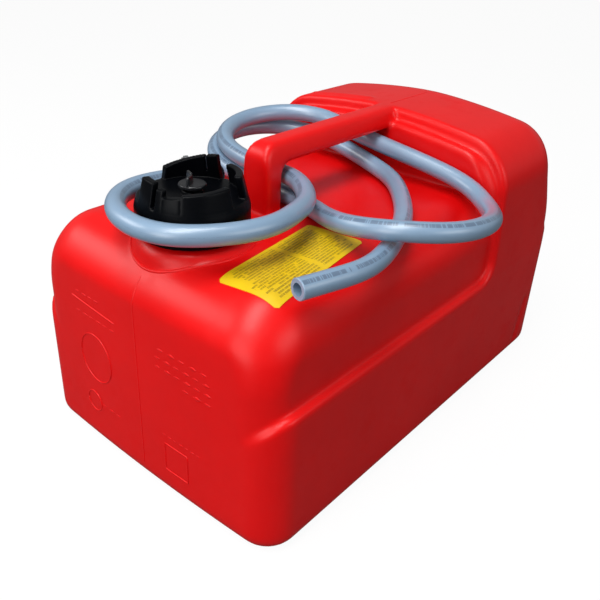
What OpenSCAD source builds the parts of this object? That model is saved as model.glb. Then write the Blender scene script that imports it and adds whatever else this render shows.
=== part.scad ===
// Portable outboard fuel tank: a blow-moulded tank with a moulded handle, a screw cap
// with a vent screw, a pickup fitting and its fuel hose.
// Millimetres. +X runs from the filler end to the raised end, +Z is up,
// and the origin is the centre of the flat bottom.

/* [Tank] */
// Length over the two end faces
tank_l = 380; // [372:1:390]
// Width over the lower band
tank_w = 238; // [232:1:246]
// Height of the raised block at its crest
block_z = 225; // [222:0.5:228]
// Height of the flat deck
deck_z = 174; // [170:0.5:177]
// Height of the ledge round the lower band
ledge_z = 107; // [98:1:112]
// How far the lower band stands out from the upper sides
band_out = 6.3; // [5:0.1:7]
// Wall of the moulding
wall = 3; // [2.4:0.1:3.6]
// Radius of the upright corners
corner_r = 28; // [24:1:32]
// Radius round the bottom edge
bottom_r = 12; // [9:1:14]
// Radius between the deck and the sides
deck_r = 36; // [32:1:38]
// Radius along the long edges of the raised block
block_r = 33; // [28:1:35]
// Radius between the raised block's crest and the end face
end_r = 42; // [36:1:44]
// How far the front end is bowed
front_bow = 3.5; // [2:0.5:5]
// Where the raised block starts
block_x = 75; // [72:1:80]
// Radius between the ledge and the raised block
ledge_r = 16; // [12:1:20]
// Width of the shelf in front of the raised block
shelf_w = 8; // [6:0.5:10]
// How far the shelf lies below the crest
shelf_drop = 10; // [8:0.5:12]
// Height of the small step across the rear end
rear_step_z = 122; // [116:1:128]
// Depth of that step
rear_step = 3; // [2:0.25:4]

/* [Rib and groove] */
// Length of the rib on the raised block
rib_l = 66; // [56:1:72]
// Width of the rib and of the groove
rib_w = 8; // [6:0.5:9]
// Height of the rib
rib_h = 1.5; // [1:0.1:2]
// Length of the groove low on the near side
groove_l = 46; // [36:1:52]
// Depth of the groove
groove_d = 1.5; // [1:0.1:1.8]

/* [Handle] */
// Thickness of the bar, top to underside
handle_t = 16; // [14:0.5:17]
// Width of the bar
handle_w = 26; // [22:1:28]
// Width of the flat strip along its top
handle_top_w = 16; // [12:1:18]
// Depth of the slope between that strip and the bar's sides
handle_slope = 13; // [9:0.5:13]
// Front of the pillar under the bar
pillar_x = -80; // [-82:0.5:-78]
// Length of the pillar
pillar_l = 16; // [14:0.5:18]
// Radius over the pillar's top
pillar_r = 12; // [9:0.5:13]

/* [Filler] */
// Where the filler's axis lies along the tank
filler_x = -137; // [-139:0.5:-135]
// Radius of the filler's bore
filler_bore_r = 24; // [20:0.5:25]
// Outer radius of the filler neck
neck_r = 29; // [28.5:0.25:29.5]
// Height of the neck above the deck
neck_h = 26; // [25:0.5:28]
// Radius of the neck's conical foot at the deck
foot_r = 41; // [38:0.5:42]
// Radius of that foot at its top, under the cap's skirt
collar_r = 34; // [31:0.5:34.5]
// Height of the foot above the deck
collar_h = 6; // [4:0.5:7]

/* [Cap] */
// Outer radius of the cap's skirt
cap_r = 38; // [37.5:0.25:39]
// Wall of the cap
cap_wall = 2.5; // [2:0.1:3]
// Outer radius at the tops of the grip walls
crown_r = 31.5; // [30:0.5:33]
// Height of the tallest grip walls over the cap's floor
crown_h = 18; // [15:0.5:19]
// Thickness of the grip walls
grip_t = 5; // [4:0.25:6]
// Thickness of the cap's gasket
gasket_t = 2; // [1.5:0.1:2.5]
// Gap between the cap's skirt and the collar
skirt_gap = 1.5; // [1:0.25:2]
// Radius of the splash baffle under the cap
baffle_r = 19; // [16:0.5:19.5]
// Gap between turning round faces
turn_gap = 0.3; // [0.25:0.05:0.4]

/* [Vent] */
// Radius of the vent screw's stem
stem_r = 3; // [2.5:0.1:3.5]
// Radius of the vent screw's head
vent_r = 9; // [8:0.5:10]
// Height of the vent screw's two wings
wing_h = 7; // [5:0.5:9]
// Rise of the vent screw from shut to open
vent_rise = 3; // [2:0.25:3.5]
// Section of the vent's O-ring
o_ring_t = 1.8; // [1.5:0.1:2]

/* [Outlet] */
// Bore of the fuel hose
hose_bore = 8; // [6:0.5:9]
// Outside diameter of the fuel hose
hose_od = 13.5; // [12.5:0.25:14]
// Radius of the outlet fitting's flange
flange_r = 13; // [12:0.5:14]
// Radius of the fitting's shank through the deck
shank_r = 8; // [7.5:0.25:8.5]
// Bore of the pickup tube
pickup_bore = 6; // [5:0.5:7]
// Gap between the pickup strainer and the tank's floor
strainer_gap = 3; // [2:0.5:5]

/* [Label] */
// Length of the label
label_l = 98; // [90:1:100]
// Width of the label
label_w = 42; // [36:1:44]
// Thickness of the label
label_t = 0.5; // [0.4:0.1:0.8]

/* [Hidden] */
$fn = 64;
arc_steps = 6;
join = 0.01;
slip = 0.05;
half_l = tank_l / 2;
half_w = tank_w / 2;
red = [0.80, 0.10, 0.08];
black = [0.09, 0.09, 0.10];
steel = [0.75, 0.76, 0.78];
hose_blue = [0.42, 0.50, 0.62];

// Free hose: spline points of its middle line, between its two straight ends
hose_route = [
    [-110, 45, 196], [-128, 53, 196], [-162, 51, 198], [-193, 20, 199], [-190, -33, 200],
    [-139, -66, 200], [-101, -56, 198], [-74, -46, 196], [-50, -14, 198], [-51, 23, 195],
    [-43, 72, 199], [-11, 97, 203], [24, 97, 206], [51, 78, 208], [62.5, 48, 207],
    [57, 14, 201], [58, -35, 195], [61, -77, 188], [56, -101, 183], [37, -125, 179],
    [-10, -149, 192], [-49, -146, 196], [-77, -120, 198], [-83, -80, 191], [-57.5, -42, 180],
    [-53, -24, 182.5], [-46, 28, 180], [-47, 72, 185], [-24, 101, 190], [11, 110, 193],
    [44, 97, 193], [63, 66, 191], [58, 25, 187], [48, -15, 182], [36, -41, 181],
    [5, -69, 181], [-26, -91, 181], [-64, -106, 179], [-103, -118, 182], [-133, -111, 183]
];
// Straight run from the fitting's axis to the hose's end face, and to the route's start
elbow_reach = 10;
stub_l = 16;
tail_l = 24;
hose_sides = 10;
hose_steps = 2;

// ---------------------------------------------------------------- outlines and lofts

// A quarter circle of points
function quarter(cx, cy, r, start) =
    [for (i = [0:arc_steps]) let (a = start + i * 90 / arc_steps) [cx + r * cos(a), cy + r * sin(a)]];

// A rounded rectangle at height z, its front end bowed
function ring(x0, x1, hw, r, z) =
    let (flat = concat(
        quarter(x1 - r, hw - r, r, 0),
        quarter(x0 + r, hw - r, r, 90),
        [for (k = [1:3]) [x0, (hw - r) * (1 - k / 2)]],
        quarter(x0 + r, r - hw, r, 180),
        quarter(x1 - r, r - hw, r, 270)))
    [for (p = flat) [p[0] + (p[0] < 0 ? front_bow * pow(p[1] / half_w, 2) : 0), p[1], z]];

// The solid between a stack of rings
module loft(rings) {
    n = len(rings[0]);
    last = len(rings) - 1;
    polyhedron(
        points = [for (r = rings) each r],
        faces = concat(
            [[for (i = [0:n - 1]) i]],
            [[for (i = [n - 1:-1:0]) last * n + i]],
            [for (j = [0:last - 1], i = [0:n - 1])
                [j * n + i, (j + 1) * n + i, (j + 1) * n + (i + 1) % n]],
            [for (j = [0:last - 1], i = [0:n - 1])
                [j * n + i, (j + 1) * n + (i + 1) % n, j * n + (i + 1) % n]]),
        convexity = 4);
}

// ---------------------------------------------------------------- tank

// Upper sides lean in a little between the ledge and the block's edge radius
side_draft = 2.5;
end_draft = 5;
block_arc_z = block_z - block_r - 8;
end_arc_z = block_z - end_r;
// How far under the deck the neck's conical foot starts
foot_drop = 1.5;
corner_min_r = 14;
front_inset_max = 30;
step_h = 3;
// The block's crown: [drop below the crest, inset from the side]
crown = [[6.6, 41], [4.4, 59], [2.2, 79], [0.4, 103], [0, 110]];
crown_start = 75;

// Inset of the side, and of the rear end, at height z of a form drawn in by o
function side_in(z) = side_draft * max(0, min(1, (z - ledge_z) / (block_arc_z - ledge_z)));
function end_in(z, o) =
    z < rear_step_z ? o
    : z < end_arc_z ? o + rear_step + (end_draft - rear_step) * (z - rear_step_z) / (end_arc_z - rear_step_z)
    : end_draft + end_r - sqrt(max(0, pow(end_r - o, 2) - pow(z - end_arc_z, 2)));

// Rows of [height, inset]: the bottom radius, and the block from its sides over its crown
function bottom_rows(o) =
    [for (a = [0:18:90]) [bottom_r - (bottom_r - o) * cos(a), bottom_r - (bottom_r - o) * sin(a)]];
function block_rows(o) = concat(
    [for (a = [0:12.5:crown_start])
        [block_arc_z + (block_r - o) * sin(a), side_draft + block_r - (block_r - o) * cos(a)]],
    [for (c = crown) [block_z - c[0] - o, c[1]]]);

function corner_at(inset, hw) = min(hw - 2, max(corner_min_r, corner_r - inset));

// The full-height form: lower band and raised block
module band_form(o) {
    rows = concat(
        bottom_rows(o),
        [[ledge_z - o, o], [rear_step_z - join, o + side_in(rear_step_z)],
            [rear_step_z + step_h, o + side_in(rear_step_z + step_h)]],
        block_rows(o));
    loft([for (row = rows)
        ring(-half_l + min(row[1], front_inset_max), half_l - max(end_in(row[0], o), row[0] < bottom_r ? row[1] : 0),
            half_w - row[1], corner_at(row[1], half_w - row[1]), row[0])]);
}

// Side view of what the band and the block keep of that form
module band_profile(o) {
    r = ledge_r + o;
    edge = block_x + o;
    top = ledge_z - o;
    translate([-tank_l, -join])
        square([2 * tank_l, top + join]);
    translate([edge, -join])
        square([tank_l, 2 * block_z]);
    difference() {
        translate([edge - r, top - join])
            square(r + join);
        translate([edge - r, top + r])
            circle(r, $fn = 48);
    }
}

// The upper front part under the deck, drawn in from the band
module deck_form(o) {
    arc_z = deck_z - deck_r;
    rows = concat(
        [[ledge_z / 2, o], [arc_z - join, o]],
        [for (a = [0:12.857:90]) [arc_z + (deck_r - o) * sin(a), deck_r - (deck_r - o) * cos(a)]]);
    loft([for (row = rows)
        ring(-half_l + row[1], (block_x + half_l) / 2, half_w - band_out - row[1],
            corner_at(row[1], half_w - row[1]), row[0])]);
}

// The shelf in front of the raised block
module shelf_form(o) {
    rows = concat(
        [[ledge_z, band_out + o]],
        [for (row = block_rows(o)) [row[0] - shelf_drop, row[1] + band_out - side_draft]]);
    loft([for (row = rows)
        ring(block_x - shelf_w + o, (block_x + half_l) / 2, half_w - row[1],
            min(corner_min_r, half_w - row[1] - 1), row[0])]);
}

// The whole moulded form, drawn in by o
module moulding(o) {
    resize([tank_l - 2 * o, tank_w - 2 * o, block_z - 2 * o])
        union() {
            intersection() {
                band_form(o);
                translate([0, half_w, 0])
                    rotate([90, 0, 0])
                        linear_extrude(tank_w)
                            band_profile(o);
            }
            deck_form(o);
            shelf_form(o);
        }
}

// Handle: a bar at the crest's level, turned down into a pillar at its front end
gap_x0 = pillar_x + pillar_l;
gap_z1 = block_z - handle_t;
handle_end = block_x + 10;
finger_r = 8;

module handle_profile() {
    difference() {
        union() {
            translate([pillar_x + pillar_r, deck_z - wall])
                square([handle_end - pillar_x - pillar_r, block_z - deck_z + wall]);
            translate([pillar_x, deck_z - wall])
                square([pillar_r, block_z - deck_z + wall - pillar_r]);
            translate([pillar_x + pillar_r, block_z - pillar_r])
                circle(pillar_r);
        }
        translate([gap_x0 + finger_r, deck_z - 2 * wall])
            square([tank_l, gap_z1 - deck_z + 2 * wall]);
        translate([gap_x0, deck_z - 2 * wall])
            square([tank_l, gap_z1 - deck_z + 2 * wall - finger_r]);
        translate([gap_x0 + finger_r, gap_z1 - finger_r])
            circle(finger_r);
    }
}

module handle_section() {
    polygon([
        [-handle_w / 2, 0], [handle_w / 2, 0], [handle_w / 2, block_z - handle_slope],
        [handle_top_w / 2, block_z], [-handle_top_w / 2, block_z], [-handle_w / 2, block_z - handle_slope]]);
}

module handle() {
    intersection() {
        rotate([90, 0, 0])
            linear_extrude(handle_w, center = true)
                handle_profile();
        translate([-half_l, 0, 0])
            rotate([90, 0, 90])
                linear_extrude(tank_l)
                    handle_section();
    }
}

// A slot outline with round ends, along X
module slot(l, w) {
    square([l - w, w], center = true);
    for (side = [-1, 1])
        translate([side * (l - w) / 2, 0])
            circle(w / 2);
}

rib_y = 53;
rib_lean = 6.5;
rib_inset = 11;
rib_sink = 3.9;
groove_inset = 33;
groove_z = 34;
groove_lean = 10;

module rib() {
    translate([block_x + rib_inset, rib_y, block_z - rib_sink - rib_h])
        rotate([-rib_lean, 0, 0])
            rotate(90)
                linear_extrude(2 * rib_h)
                    slot(rib_l, rib_w);
}

module groove() {
    translate([half_l - groove_inset, groove_d - half_w, groove_z])
        rotate([90, 0, 0])
            rotate(90 - groove_lean)
                linear_extrude(2 * groove_d)
                    slot(groove_l, rib_w);
}

rim_z = deck_z + neck_h;
port_r = shank_r + 0.4;

module neck_foot() {
    rotate_extrude()
        polygon([[0, -deck_r / 2], [foot_r, -deck_r / 2], [foot_r, -foot_drop], [collar_r, collar_h],
            [0, collar_h]]);
}

module tank_body() {
    color(red) {
        difference() {
            union() {
                moulding(0);
                handle();
                rib();
                translate([filler_x, 0, deck_z - wall])
                    cylinder(r = neck_r, h = neck_h + wall);
                translate([filler_x, 0, deck_z])
                    neck_foot();
            }
            moulding(wall);
            groove();
            translate([filler_x, 0, deck_z - 2 * wall])
                cylinder(r = filler_bore_r, h = neck_h + 3 * wall);
            translate([outlet_xy[0], outlet_xy[1], deck_z - 2 * wall])
                cylinder(r = port_r, h = 3 * wall);
        }
    }
}

// ---------------------------------------------------------------- cap

skirt_z = deck_z + collar_h + skirt_gap;
floor_z = rim_z + gasket_t;
floor_top = floor_z + cap_wall;
skirt_in_r = cap_r - cap_wall;
shoulder_r = cap_r - 2;
boss_r = 7;
boss_h = 3;
boss_top = floor_top + boss_h;
// Grip walls round the crown: [angle where it starts, share of crown_h], each up to the next
crown_walls = [
    [0, 0], [8, 1], [30, 0], [45, 0.92], [72, 0.75], [100, 0], [135, 1], [160, 0.7],
    [187, 0], [190, 0.35], [215, 0.6], [250, 0.72], [285, 0], [300, 1], [355, 0]
];
wedge_r = 2 * cap_r;

module wedge(a0, a1) {
    polygon([[0, 0], for (k = [0:2]) let (a = a0 + (a1 - a0) * k / 2) wedge_r * [cos(a), sin(a)]]);
}

module grip_walls() {
    difference() {
        rotate_extrude()
            polygon([
                [shoulder_r - grip_t, floor_z], [shoulder_r, floor_z], [shoulder_r, floor_top],
                [crown_r, floor_top + crown_h], [crown_r - grip_t, floor_top + crown_h],
                [shoulder_r - grip_t, floor_top]]);
        for (i = [0:len(crown_walls) - 1]) {
            wall_at = crown_walls[i];
            next_at = i + 1 < len(crown_walls) ? crown_walls[i + 1][0] : 360;
            if (wall_at[1] < 1)
                translate([0, 0, floor_top + wall_at[1] * crown_h])
                    linear_extrude(2 * crown_h)
                        wedge(wall_at[0], next_at);
        }
    }
}

module cap_shell() {
    color(black)
        translate([filler_x, 0, 0])
            difference() {
                union() {
                    rotate_extrude()
                        polygon([
                            [0, floor_z], [skirt_in_r, floor_z], [skirt_in_r, skirt_z], [cap_r, skirt_z],
                            [cap_r - 1, rim_z - 2], [shoulder_r, floor_top], [0, floor_top]]);
                    translate([0, 0, floor_top - join])
                        cylinder(r = boss_r, h = boss_h + join);
                    grip_walls();
                }
                translate([0, 0, floor_z - 1])
                    cylinder(r = stem_r + turn_gap, h = cap_wall + boss_h + 2);
            }
}

// The threaded ring inside the skirt
ring_z0 = skirt_z + 1;
module cap_thread_ring() {
    color(black)
        translate([filler_x, 0, ring_z0])
            difference() {
                cylinder(r = skirt_in_r - slip, h = rim_z - ring_z0);
                translate([0, 0, -1])
                    cylinder(r = neck_r + turn_gap, h = neck_h);
            }
}

module cap_gasket() {
    color([0.2, 0.2, 0.2])
        translate([filler_x, 0, rim_z])
            difference() {
                cylinder(r = neck_r - slip, h = gasket_t);
                translate([0, 0, -1])
                    cylinder(r = filler_bore_r + 0.5, h = gasket_t + 2);
            }
}

// The baffle hangs from the cap's floor by a tube round the vent screw's stem
baffle_tube_r = 8.5;
baffle_bore_r = 6;
baffle_drop = 16;
baffle_z = floor_z - baffle_drop;
baffle_t = 2;
module cap_baffle() {
    color([0.85, 0.85, 0.82])
        translate([filler_x, 0, 0])
            difference() {
                union() {
                    translate([0, 0, baffle_z])
                        cylinder(r = baffle_r, h = baffle_t);
                    translate([0, 0, baffle_z])
                        cylinder(r = baffle_tube_r, h = floor_z - baffle_z);
                }
                translate([0, 0, baffle_z + baffle_t])
                    cylinder(r = baffle_bore_r, h = floor_z - baffle_z);
                for (a = [0, 90])
                    rotate(a)
                        translate([-baffle_r, -1.5, baffle_z + baffle_t + 1])
                            cube([2 * baffle_r, 3, 5]);
            }
}

// ---------------------------------------------------------------- vent

head_z = boss_top + o_ring_t;
head_t = 2.6;
stem_end = baffle_z + baffle_t + 2;
clip_top = floor_z - vent_rise - 0.5;
clip_t = 1;
clip_r = 5;
groove_r = stem_r - 0.6;
wing_t = 2.6;

module vent_screw() {
    color(black)
        translate([filler_x, 0, 0]) {
            difference() {
                translate([0, 0, stem_end])
                    cylinder(r = stem_r, h = head_z + head_t - stem_end);
                translate([0, 0, clip_top - clip_t - slip])
                    difference() {
                        cylinder(r = stem_r + 1, h = clip_t + 2 * slip);
                        cylinder(r = groove_r, h = clip_t + 2 * slip);
                    }
            }
            translate([0, 0, head_z])
                cylinder(r = vent_r, h = head_t);
            for (side = [-1, 1])
                rotate(side * 62)
                    translate([0, 0, head_z + head_t - join])
                        rotate([90, 0, 0])
                            linear_extrude(wing_t, center = true)
                                polygon([[1, 0], [vent_r - 0.5, 0], [vent_r - 1.5, wing_h - 1],
                                    [vent_r - 3, wing_h], [2.5, wing_h * 0.55]]);
        }
}

module vent_o_ring() {
    color([0.15, 0.15, 0.15])
        translate([filler_x, 0, boss_top + o_ring_t / 2])
            rotate_extrude()
                translate([stem_r + turn_gap + o_ring_t / 2, 0])
                    circle(o_ring_t / 2, $fn = 24);
}

module vent_clip() {
    color(steel)
        translate([filler_x, 0, clip_top - clip_t])
            rotate(45)
                rotate_extrude(angle = 270)
                    translate([groove_r + slip, 0])
                        square([clip_r - groove_r - slip, clip_t]);
}

// ---------------------------------------------------------------- outlet

function unit(v) = v / norm(v);
out_dir = unit(hose_route[1] - hose_route[0]);
out_angle = atan2(out_dir[1], out_dir[0]);
hose_z = hose_route[0][2];
outlet_xy = hose_route[0] - (elbow_reach + stub_l) * out_dir;
seat_z = deck_z + gasket_t;
flange_t = 3;
barb_r = hose_bore / 2 - slip;
barb_l = 16;
tube_r = pickup_bore / 2 + 1.5;
shank_below = 14;
shank_z = deck_z - wall - shank_below;
socket_h = 9;

// Puts children at the outlet's axis, turned to the hose's direction
module at_outlet(z) {
    translate([outlet_xy[0], outlet_xy[1], z])
        rotate(out_angle)
            children();
}

module outlet_elbow() {
    color(black)
        difference() {
            union() {
                at_outlet(shank_z)
                    rotate_extrude() {
                        square([shank_r, hose_z - shank_z]);
                        translate([0, hose_z - shank_z])
                            intersection() {
                                circle(shank_r);
                                square(shank_r);
                            }
                    }
                at_outlet(seat_z)
                    cylinder(r = flange_r, h = flange_t);
                at_outlet(hose_z)
                    rotate([0, 90, 0])
                        cylinder(r = hose_od / 2, h = elbow_reach);
                at_outlet(hose_z)
                    rotate([0, 90, 0])
                        cylinder(r = barb_r, h = elbow_reach + barb_l);
            }
            at_outlet(shank_z - 1)
                cylinder(r = pickup_bore / 2, h = hose_z - shank_z + 1);
            at_outlet(shank_z - 1)
                cylinder(r = tube_r + slip, h = socket_h + 1);
            at_outlet(hose_z)
                rotate([0, 90, 0])
                    cylinder(r = pickup_bore / 2 - 0.5, h = elbow_reach + barb_l + 1);
        }
}

module outlet_gasket() {
    color([0.2, 0.2, 0.2])
        at_outlet(deck_z)
            difference() {
                cylinder(r = flange_r - 1, h = gasket_t);
                translate([0, 0, -1])
                    cylinder(r = shank_r + slip, h = gasket_t + 2);
            }
}

nut_t = 6;
module outlet_locknut() {
    color(black)
        at_outlet(deck_z - wall - nut_t)
            difference() {
                cylinder(r = flange_r, h = nut_t, $fn = 6);
                translate([0, 0, -1])
                    cylinder(r = shank_r + slip, h = nut_t + 2);
            }
}

strainer_z = wall + strainer_gap;
strainer_h = 24;
strainer_r = 9;
strainer_slots = 6;
tube_z = strainer_z + strainer_h - 8;

module pickup_tube() {
    color([0.85, 0.85, 0.82])
        at_outlet(tube_z)
            difference() {
                cylinder(r = tube_r, h = shank_z + socket_h - tube_z);
                translate([0, 0, -1])
                    cylinder(r = pickup_bore / 2, h = deck_z);
            }
}

module pickup_strainer() {
    color([0.85, 0.85, 0.82])
        at_outlet(strainer_z)
            difference() {
                cylinder(r = strainer_r, h = strainer_h);
                translate([0, 0, 1.5])
                    cylinder(r = strainer_r - 1.5, h = strainer_h - 6);
                cylinder(r = tube_r + slip, h = strainer_h + 1);
                for (i = [0:strainer_slots - 1])
                    rotate(i * 180 / strainer_slots)
                        translate([-strainer_r - 1, -1, 3])
                            cube([2 * strainer_r + 2, 2, strainer_h - 10]);
            }
}

// ---------------------------------------------------------------- hose clamp

clamp_at = elbow_reach + 4;
clamp_w = 8;
clamp_t = 1;
clamp_r = hose_od / 2 + slip;
house_h = 5;
house_w = 9;
screw_r = 2;
screw_l = 14;

// Puts children on the hose's first straight stretch, with Z up and X along the hose
module at_clamp() {
    at_outlet(hose_z)
        translate([clamp_at, 0, 0])
            children();
}

module hose_clamp() {
    color(steel)
        at_clamp()
            difference() {
                union() {
                    rotate([0, 90, 0])
                        cylinder(r = clamp_r + clamp_t, h = clamp_w);
                    translate([0, -house_w / 2, clamp_r])
                        cube([clamp_w, house_w, house_h + clamp_t]);
                }
                translate([-1, 0, 0])
                    rotate([0, 90, 0])
                        cylinder(r = clamp_r, h = clamp_w + 2);
                translate([clamp_w / 2, -house_w, clamp_r + clamp_t + house_h / 2])
                    rotate([-90, 0, 0])
                        cylinder(r = screw_r + slip, h = 2 * house_w);
            }
}

module hose_clamp_screw() {
    color(steel)
        at_clamp()
            translate([clamp_w / 2, -house_w / 2 - 3, clamp_r + clamp_t + house_h / 2])
                rotate([-90, 0, 0]) {
                    cylinder(r = screw_r, h = screw_l);
                    cylinder(r = 1.5 * screw_r, h = 3 - slip, $fn = 6);
                }
}

// ---------------------------------------------------------------- hose

// Cubic spline through the route's frame, with free ends
route_last = len(hose_route) - 1;
function route_point(i) =
    i < 0 ? 2 * hose_route[0] - hose_route[1]
    : i > route_last ? 2 * hose_route[route_last] - hose_route[route_last - 1]
    : hose_route[i];
function spline(i, u) = (
    pow(1 - u, 3) * route_point(i - 1)
    + (3 * pow(u, 3) - 6 * pow(u, 2) + 4) * route_point(i)
    + (3 * u + 3 * pow(u, 2) - 3 * pow(u, 3) + 1) * route_point(i + 1)
    + pow(u, 3) * route_point(i + 2)) / 6;
function spline_slope(i, u) = (
    -pow(1 - u, 2) * route_point(i - 1)
    + (3 * pow(u, 2) - 4 * u) * route_point(i)
    + (1 + 2 * u - 3 * pow(u, 2)) * route_point(i + 1)
    + pow(u, 2) * route_point(i + 2)) / 2;

hose_stations = [
    for (i = [0:route_last - 1], k = [0:hose_steps - 1]) [i, k / hose_steps],
    [route_last - 1, 1]
];

// One ring of the hose, square to its run
function hose_ring(s) =
    let (
        mid = spline(s[0], s[1]),
        run = unit(spline_slope(s[0], s[1])),
        side = unit(cross(run, [0, 0, 1])),
        up = cross(run, side))
    [for (i = [0:hose_sides - 1])
        let (a = 360 * i / hose_sides)
        mid + (hose_od / 2 - slip) * (cos(a) * side + sin(a) * up)];

tail_dir = unit(hose_route[route_last] - hose_route[route_last - 1]);

// A true drilled stretch of hose, from a point along a direction
module hose_stretch(at, dir, l) {
    translate(at)
        rotate([0, 90 - asin(dir[2]), atan2(dir[1], dir[0])])
            difference() {
                cylinder(d = hose_od, h = l);
                translate([0, 0, -1])
                    cylinder(d = hose_bore, h = l + 2);
            }
}

module fuel_hose() {
    color(hose_blue) {
        loft([for (s = hose_stations) hose_ring(s)]);
        hose_stretch(hose_route[0], -out_dir, stub_l);
    }
}

// The hose's free end, true and drilled
module hose_end() {
    color(hose_blue)
        hose_stretch(hose_route[route_last], tail_dir, tail_l);
}

// ---------------------------------------------------------------- label

label_at = [-112, -64];
label_turn = 5;
label_corner = 4;

// Everything under a surface o above the deck and its edge radii
module under_deck(o) {
    arc_z = deck_z - deck_r;
    edge_y = half_w - band_out - deck_r;
    edge_x = half_l - deck_r;
    intersection() {
        translate([-half_l, 0, 0])
            rotate([90, 0, 90])
                linear_extrude(tank_l) {
                    translate([-edge_y, 0])
                        square([2 * edge_y, deck_z + o]);
                    translate([-edge_y, arc_z])
                        circle(deck_r + o);
                }
        rotate([90, 0, 0])
            linear_extrude(tank_w, center = true) {
                translate([-edge_x, 0])
                    square([tank_l, deck_z + o]);
                translate([-edge_x, arc_z])
                    circle(deck_r + o);
            }
    }
}

module deck_label() {
    color([0.86, 0.76, 0.20])
        intersection() {
            translate([label_at[0], label_at[1], deck_z - deck_r / 2])
                rotate(label_turn)
                    linear_extrude(deck_r) {
                        square([label_l - 2 * label_corner, label_w], center = true);
                        square([label_l, label_w - 2 * label_corner], center = true);
                        for (sx = [-1, 1], sy = [-1, 1])
                            translate([sx * (label_l / 2 - label_corner), sy * (label_w / 2 - label_corner)])
                                circle(label_corner);
                    }
            difference() {
                under_deck(label_t + slip);
                under_deck(slip);
            }
        }
}

tank_body();
cap_shell();
cap_thread_ring();
cap_gasket();
cap_baffle();
vent_screw();
vent_o_ring();
vent_clip();
outlet_elbow();
outlet_gasket();
outlet_locknut();
pickup_tube();
pickup_strainer();
hose_clamp();
hose_clamp_screw();
fuel_hose();
hose_end();
deck_label();
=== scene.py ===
import math

import bpy
import numpy as np
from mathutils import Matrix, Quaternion, Vector


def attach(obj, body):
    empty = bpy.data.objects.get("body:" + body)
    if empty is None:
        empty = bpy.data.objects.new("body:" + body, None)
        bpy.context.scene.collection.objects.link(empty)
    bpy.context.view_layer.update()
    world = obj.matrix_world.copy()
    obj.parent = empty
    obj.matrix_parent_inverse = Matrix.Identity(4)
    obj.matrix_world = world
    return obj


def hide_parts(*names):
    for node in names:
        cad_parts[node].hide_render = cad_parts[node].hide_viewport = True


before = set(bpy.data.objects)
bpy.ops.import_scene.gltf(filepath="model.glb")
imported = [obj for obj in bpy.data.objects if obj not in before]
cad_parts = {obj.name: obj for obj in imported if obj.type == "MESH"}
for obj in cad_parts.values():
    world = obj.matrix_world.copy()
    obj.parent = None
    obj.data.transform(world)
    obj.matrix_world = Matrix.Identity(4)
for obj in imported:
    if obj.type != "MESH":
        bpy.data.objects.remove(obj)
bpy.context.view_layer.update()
mm = 0.001  # sizes below are in millimetres, on the frame's axes, and meshes are made in metres

print("camera")
view = {
    "place": (-421.4, -322.5, 374.4),
    "aim": (-48.2, -19.6, 107.0),
    "roll": 2.85,  # degrees
    "lens": 42.84,
    "shiftUp": -0.017,
}


def setCamera():
    lens = bpy.data.cameras.new("camera")
    lens.lens = view["lens"]
    lens.shift_y = view["shiftUp"]
    lens.clip_start = 0.01
    camera = bpy.data.objects.new("camera", lens)
    bpy.context.scene.collection.objects.link(camera)
    camera.location = Vector(view["place"]) * mm
    look = (Vector(view["aim"]) - Vector(view["place"])).to_track_quat("-Z", "Y")
    camera.rotation_mode = "QUATERNION"
    camera.rotation_quaternion = look @ Quaternion((0, 0, 1), math.radians(view["roll"]))
    bpy.context.scene.camera = camera


setCamera()

print("materials")


def nodeGroup(name, inputs, outputs):
    # A shader node group with float inputs and outputs. Gives back the group, what comes in and what goes out
    group = bpy.data.node_groups.new(name, "ShaderNodeTree")
    for label, value in inputs.items():
        socket = group.interface.new_socket(label, in_out="INPUT", socket_type="NodeSocketFloat")
        socket.default_value = value
    for label in outputs:
        group.interface.new_socket(label, in_out="OUTPUT", socket_type="NodeSocketFloat")
    start = group.nodes.new("NodeGroupInput")
    end = group.nodes.new("NodeGroupOutput")
    return group, start.outputs, end.inputs


def wire(tree, kind, values=None, **settings):
    # One node: settings are its properties, and values fill its inputs by name or number or link a socket
    node = tree.nodes.new(kind)
    for key, value in settings.items():
        setattr(node, key, value)
    for key, value in (values or {}).items():
        if isinstance(value, bpy.types.NodeSocket):
            tree.links.new(value, node.inputs[key])
        else:
            node.inputs[key].default_value = value
    return node


def math2(tree, operation, a, b=0.0):
    return wire(tree, "ShaderNodeMath", {0: a, 1: b}, operation=operation).outputs[0]


def spread(tree, value, low, high, toLow=0.0, toHigh=1.0):
    node = wire(tree, "ShaderNodeMapRange", {"Value": value, "From Min": low, "From Max": high,
                                             "To Min": toLow, "To Max": toHigh})
    return node.outputs["Result"]


def noise(tree, where, scale, detail=2.0, rough=0.5):
    node = wire(tree, "ShaderNodeTexNoise", {"Vector": where, "Scale": scale, "Detail": detail,
                                             "Roughness": rough})
    return node.outputs["Fac"]


grain = {
    "peelDetail": 3.0, "peelRough": 0.6, "peelShare": 0.25,
    "waveDetail": 1.0, "waveShare": 0.75,
    "toneDetail": 4.0, "toneRough": 0.65, "toneFrom": 0.3, "toneTo": 0.7,
    "rubDetail": 6.0, "rubRough": 0.72, "rubFrom": 0.52, "rubTo": 0.72, "rubDulls": 0.25,
}


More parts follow.
